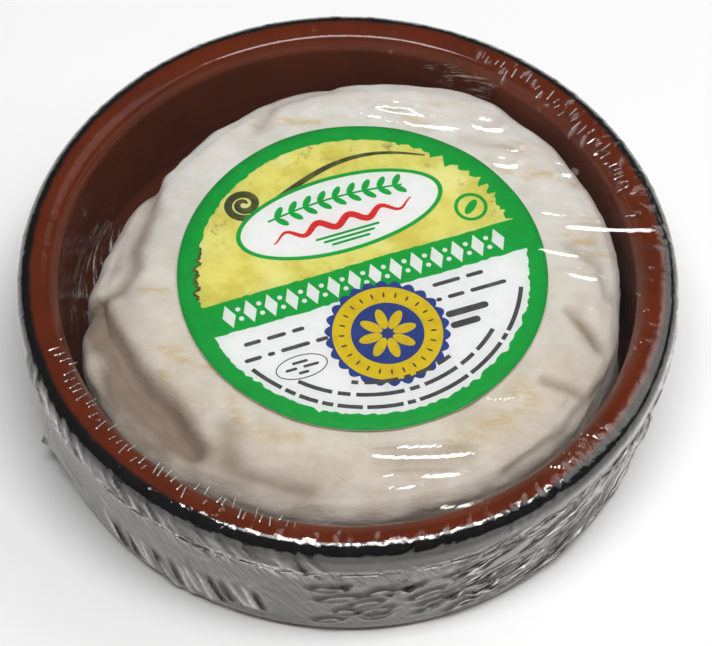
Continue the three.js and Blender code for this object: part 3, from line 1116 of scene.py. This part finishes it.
def add_side_creases(lift, pleat, turns, s, radii, heights):
    """Pleats on the side and over the rim, and oval blisters low on the side at the front."""
    top = int(np.argmax(heights))
    fine = np.nonzero(radii[:top] > FOOT_RADIUS)[0]

    def at(z):
        return float(np.interp(z, heights[fine], s[fine]))

    for mark in side_pleats(at, s[top]):
        block, along, across = unrolled(mark, s, turns, radii)
        rise = mark[5] * film_ridge(across, along / mark[3], mark[4])
        lift[block] += rise
        pleat[block] += rng.choice((-3.0, 3.5)) * rise
    for _ in range(22):
        mark = (rng.uniform(267, 298), at(rng.uniform(3.5, 15)), rng.normal(16, 8),
                rng.uniform(1.3, 3.1), rng.uniform(0.6, 1.1))
        block, along, across = unrolled(mark, s, turns, radii)
        ring = np.hypot(along / mark[3], across / mark[4])
        edge = bell((ring - 1) * mark[4], 0.34)
        lift[block] += 0.36 * edge
        pleat[block] += 0.8 * bell((ring - 0.45) * mark[4], 0.3) - 0.6 * edge


# Lens-shaped loops where the stretched film bridges a hollow: place, half length, half width, turn, height
FILM_LOOPS = [
    (6.5, 30.6, 2.6, 0.7, -4, 0.2), (8.0, 28.6, 8.0, 1.0, -10, 0.2), (20.0, 27.6, 2.6, 0.9, -14, 0.2),
    (23.5, 23.4, 1.6, 0.5, -8, 0.16), (22.5, 20.8, 2.2, 0.7, -12, 0.2), (31.0, 19.6, 2.0, 0.8, -30, 0.2),
    (30.5, 11.8, 3.2, 0.5, -10, 0.16), (38.0, 9.2, 6.5, 0.55, -3, 0.2), (30.5, 5.0, 3.4, 0.5, -14, 0.16),
    (34.0, 0.8, 2.7, 0.6, -16, 0.18), (32.6, -4.4, 2.4, 0.5, -30, 0.14),
    (22.0, -20.6, 2.6, 0.5, 4, 0.16), (11.0, -30.4, 7.6, 0.9, 3, 0.22),
    (11.0, -34.0, 5.4, 0.6, 3, 0.22), (8.5, -36.2, 2.2, 0.35, 6, 0.18), (16.0, -39.0, 2.6, 0.5, 8, 0.18),
]
LOOP_LIFT = 2.1  # the film's lift in millimetres for a loop's height of 1
# Straight puckers over the right of the rim at the front: place, half length, turn
STRAIGHT_PUCKERS = [
    (36.1, -25.7, 1.44, -14), (33.9, -27.1, 2.28, -12), (32.0, -28.1, 2.04, -8), (31.3, -29.2, 2.16, -6),
    (30.8, -30.4, 2.28, -5), (30.3, -31.6, 2.04, -3), (29.9, -32.6, 1.44, -3),
]
STRAIGHT_HEIGHT = 0.42
PUCKER_RADIUS = 43.4  # where the others lie, on the inner edge of the rim
# Those: from and to in degrees, how many, half length, height, spread of lean, how far film is gathered
RIM_PUCKERS = [(15, 66, 20, 1.4, 0.27, 24, 1.2), (343, 366, 8, 1.1, 0.26, 20, 1)]


def add_pucker(lift, pleat, x, y, place, lean, half, height, gathered):
    """One short straight ridge; where the film is gathered it mirrors more."""
    u, v = x - place[0], y - place[1]
    along = u * math.cos(lean) + v * math.sin(lean)
    across = v * math.cos(lean) - u * math.sin(lean)
    ridge = bell(across, 0.36) * bell(along, half, 4)
    lift += height * ridge
    pleat += gathered * ridge


def add_mouth_creases(lift, pleat, x, y):
    for cx, cy, long_way, short_way, turn, height in FILM_LOOPS:
        c, s = polar(turn)
        u = ((x - cx) * c + (y - cy) * s) / long_way
        v = ((y - cy) * c - (x - cx) * s) / short_way
        edge = (np.hypot(u, v) - 1) * short_way
        lift += LOOP_LIFT * height * bell(edge, 0.42) * bell(u, 1.2, 6)
    for cx, cy, half, turn in STRAIGHT_PUCKERS:
        add_pucker(lift, pleat, x, y, (cx, cy), math.radians(turn), half, STRAIGHT_HEIGHT, 1.0)
    for low, high, count, half, height, lean, gathered in RIM_PUCKERS:
        for direction in np.linspace(low, high, count) + rng.normal(0, 0.5, count):
            place = polar(direction, PUCKER_RADIUS + rng.normal(0, 0.8))
            turn = math.radians(direction + rng.normal(0, lean))
            size = half * rng.uniform(0.6, 1.3)
            add_pucker(lift, pleat, x, y, place, turn, size, height * rng.uniform(0.8, 1.1), gathered)
    for vent in VENTS:
        cx, cy = polar(*vent)
        lift += 0.14 * bell(np.hypot(x - cx, y - cy) - VENT_RADIUS, 0.3)


def add_seal(lift, turns, heights, rows):
    """The trim seal: a thin wavy fin round the side, with the bag's cut corner."""
    level = SEAL_HEIGHT + 0.22 * np.sin(turns * 31 + 2 * np.sin(turns * 7)) + 0.12 * np.sin(turns * 83)
    level += BOWL_RADIUS * (SEAL_LEAN[0] * np.cos(turns) + SEAL_LEAN[1] * np.sin(turns))
    away = np.abs((turns - math.radians(EAR_DIRECTION) + math.pi) % (2 * math.pi) - math.pi) * BOWL_RADIUS
    ear = EAR_LENGTH * np.clip(1 - away / (EAR_WIDTH / 2), 0, 1) ** 1.3
    for i in rows:
        fin = bell(heights[i] - level, 0.36)
        corner = bell(heights[i] - EAR_HEIGHT, 0.8)
        loose = bell(away, 10) * bell(heights[i] - EAR_HEIGHT - 3, 5.5)
        lift[i] += fin * SEAL_PROUD + corner * ear + LOOSE_LIFT * loose


def make_film():
    outline = thin_out(film_outline())
    out = outline_normals(outline)
    turns = directions(FILM_SEGMENTS)
    radii, heights = outline[:, 0], outline[:, 1]
    s = np.concatenate(([0], np.cumsum(np.linalg.norm(np.diff(outline, axis=0), axis=1))))
    top = int(np.argmax(heights))
    lip = int(np.nonzero(heights > RIM_TOP - FILM_LIP_DROP)[0][0])
    foot = int(np.nonzero(heights > 2)[0][0])
    lift = np.zeros((len(outline), FILM_SEGMENTS))
    pleat = np.zeros((len(outline), FILM_SEGMENTS))
    add_side_creases(lift, pleat, turns, s, radii, heights)
    x, y = radii[:, None] * np.cos(turns), radii[:, None] * np.sin(turns)
    mouth = slice(top - 4, None)
    add_mouth_creases(lift[mouth], pleat[mouth], x[mouth], y[mouth])
    add_seal(lift, turns, heights, range(foot, lip + 4))
    lift *= np.clip((radii - 20) / 6, 0, 1)[:, None]
    lift[: foot - 2] = 0
    lift = np.maximum(lift, -0.12)
    rings, pleats = [], []
    for i in range(1, len(outline) - 1):
        every = 3 if is_coarse(*outline[i]) else 1
        pleats.append(np.clip(pleat[i], -0.85, 1.2)[::every])
        r = (radii[i] + out[i, 0] * lift[i])[::every]
        z = (heights[i] + out[i, 1] * lift[i])[::every]
        t = turns[::every]
        rings.append(np.column_stack((r * np.cos(t), r * np.sin(t), z)))
    film = turned_piece("shrink_film", rings, (0, 0, FILM_BOTTOM), (0, 0, FILM_REST), [clear_film()])
    point_values(film, "pleat", pleats)
    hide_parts("film")


# ---- the stage

LIGHT_TARGET = (0, 0, 0.02)
FLOOR_HALF = 0.9
WORLD_STRENGTH = 0.08


def make_camera():
    tilt, roll = math.radians(CAMERA_ELEVATION), math.radians(CAMERA_ROLL)
    back = Vector((0, -math.cos(tilt), math.sin(tilt)))
    right = Vector((1, 0, 0))
    up = back.cross(right)
    rolled_right = right * math.cos(roll) + up * math.sin(roll)
    rolled_up = up * math.cos(roll) - right * math.sin(roll)
    place = back * CAMERA_DISTANCE + rolled_right * CAMERA_SLIDE[0] + rolled_up * CAMERA_SLIDE[1]
    place += Vector((0, 0, CAMERA_TARGET))
    data = bpy.data.cameras.new("camera")
    data.lens = CAMERA_LENS
    data.clip_start = 0.01
    camera = linked("camera", data)
    turn = Matrix((rolled_right, rolled_up, back)).transposed().to_4x4()
    camera.matrix_world = Matrix.Translation(place * MM) @ turn
    bpy.context.scene.camera = camera


def area_light(name, place, size, power):
    data = bpy.data.lights.new(name, "AREA")
    data.shape = "RECTANGLE"
    data.size, data.size_y = size
    data.energy = power
    light = linked(name, data)
    light.location = place
    look = Vector(LIGHT_TARGET) - Vector(place)
    light.rotation_euler = look.to_track_quat("-Z", "Y").to_euler()


def make_stage():
    mesh = bpy.data.meshes.new("floor")
    corners = [(-1, -1), (1, -1), (1, 1), (-1, 1)]
    mesh.from_pydata([(FLOOR_HALF * x, FLOOR_HALF * y, 0) for x, y in corners], [], [(0, 1, 2, 3)])
    mesh.materials.append(pale_floor())
    floor = linked("floor", mesh)
    world = bpy.data.worlds.new("world")
    world.use_nodes = True
    background = world.node_tree.nodes["Background"].inputs
    background["Color"].default_value = (1, 1, 1, 1)
    background["Strength"].default_value = WORLD_STRENGTH
    bpy.context.scene.world = world
    area_light("softbox_above", (0.04, -0.19, 0.98), (0.68, 0.25), 8.4)
    area_light("softbox_right", (0.85, 0.35, 0.85), (1.2, 1.2), 5.6)
    bpy.context.scene.view_settings.view_transform = "Standard"


make_camera()
make_stage()
make_bowl()
make_cheese()
make_label()
make_film()
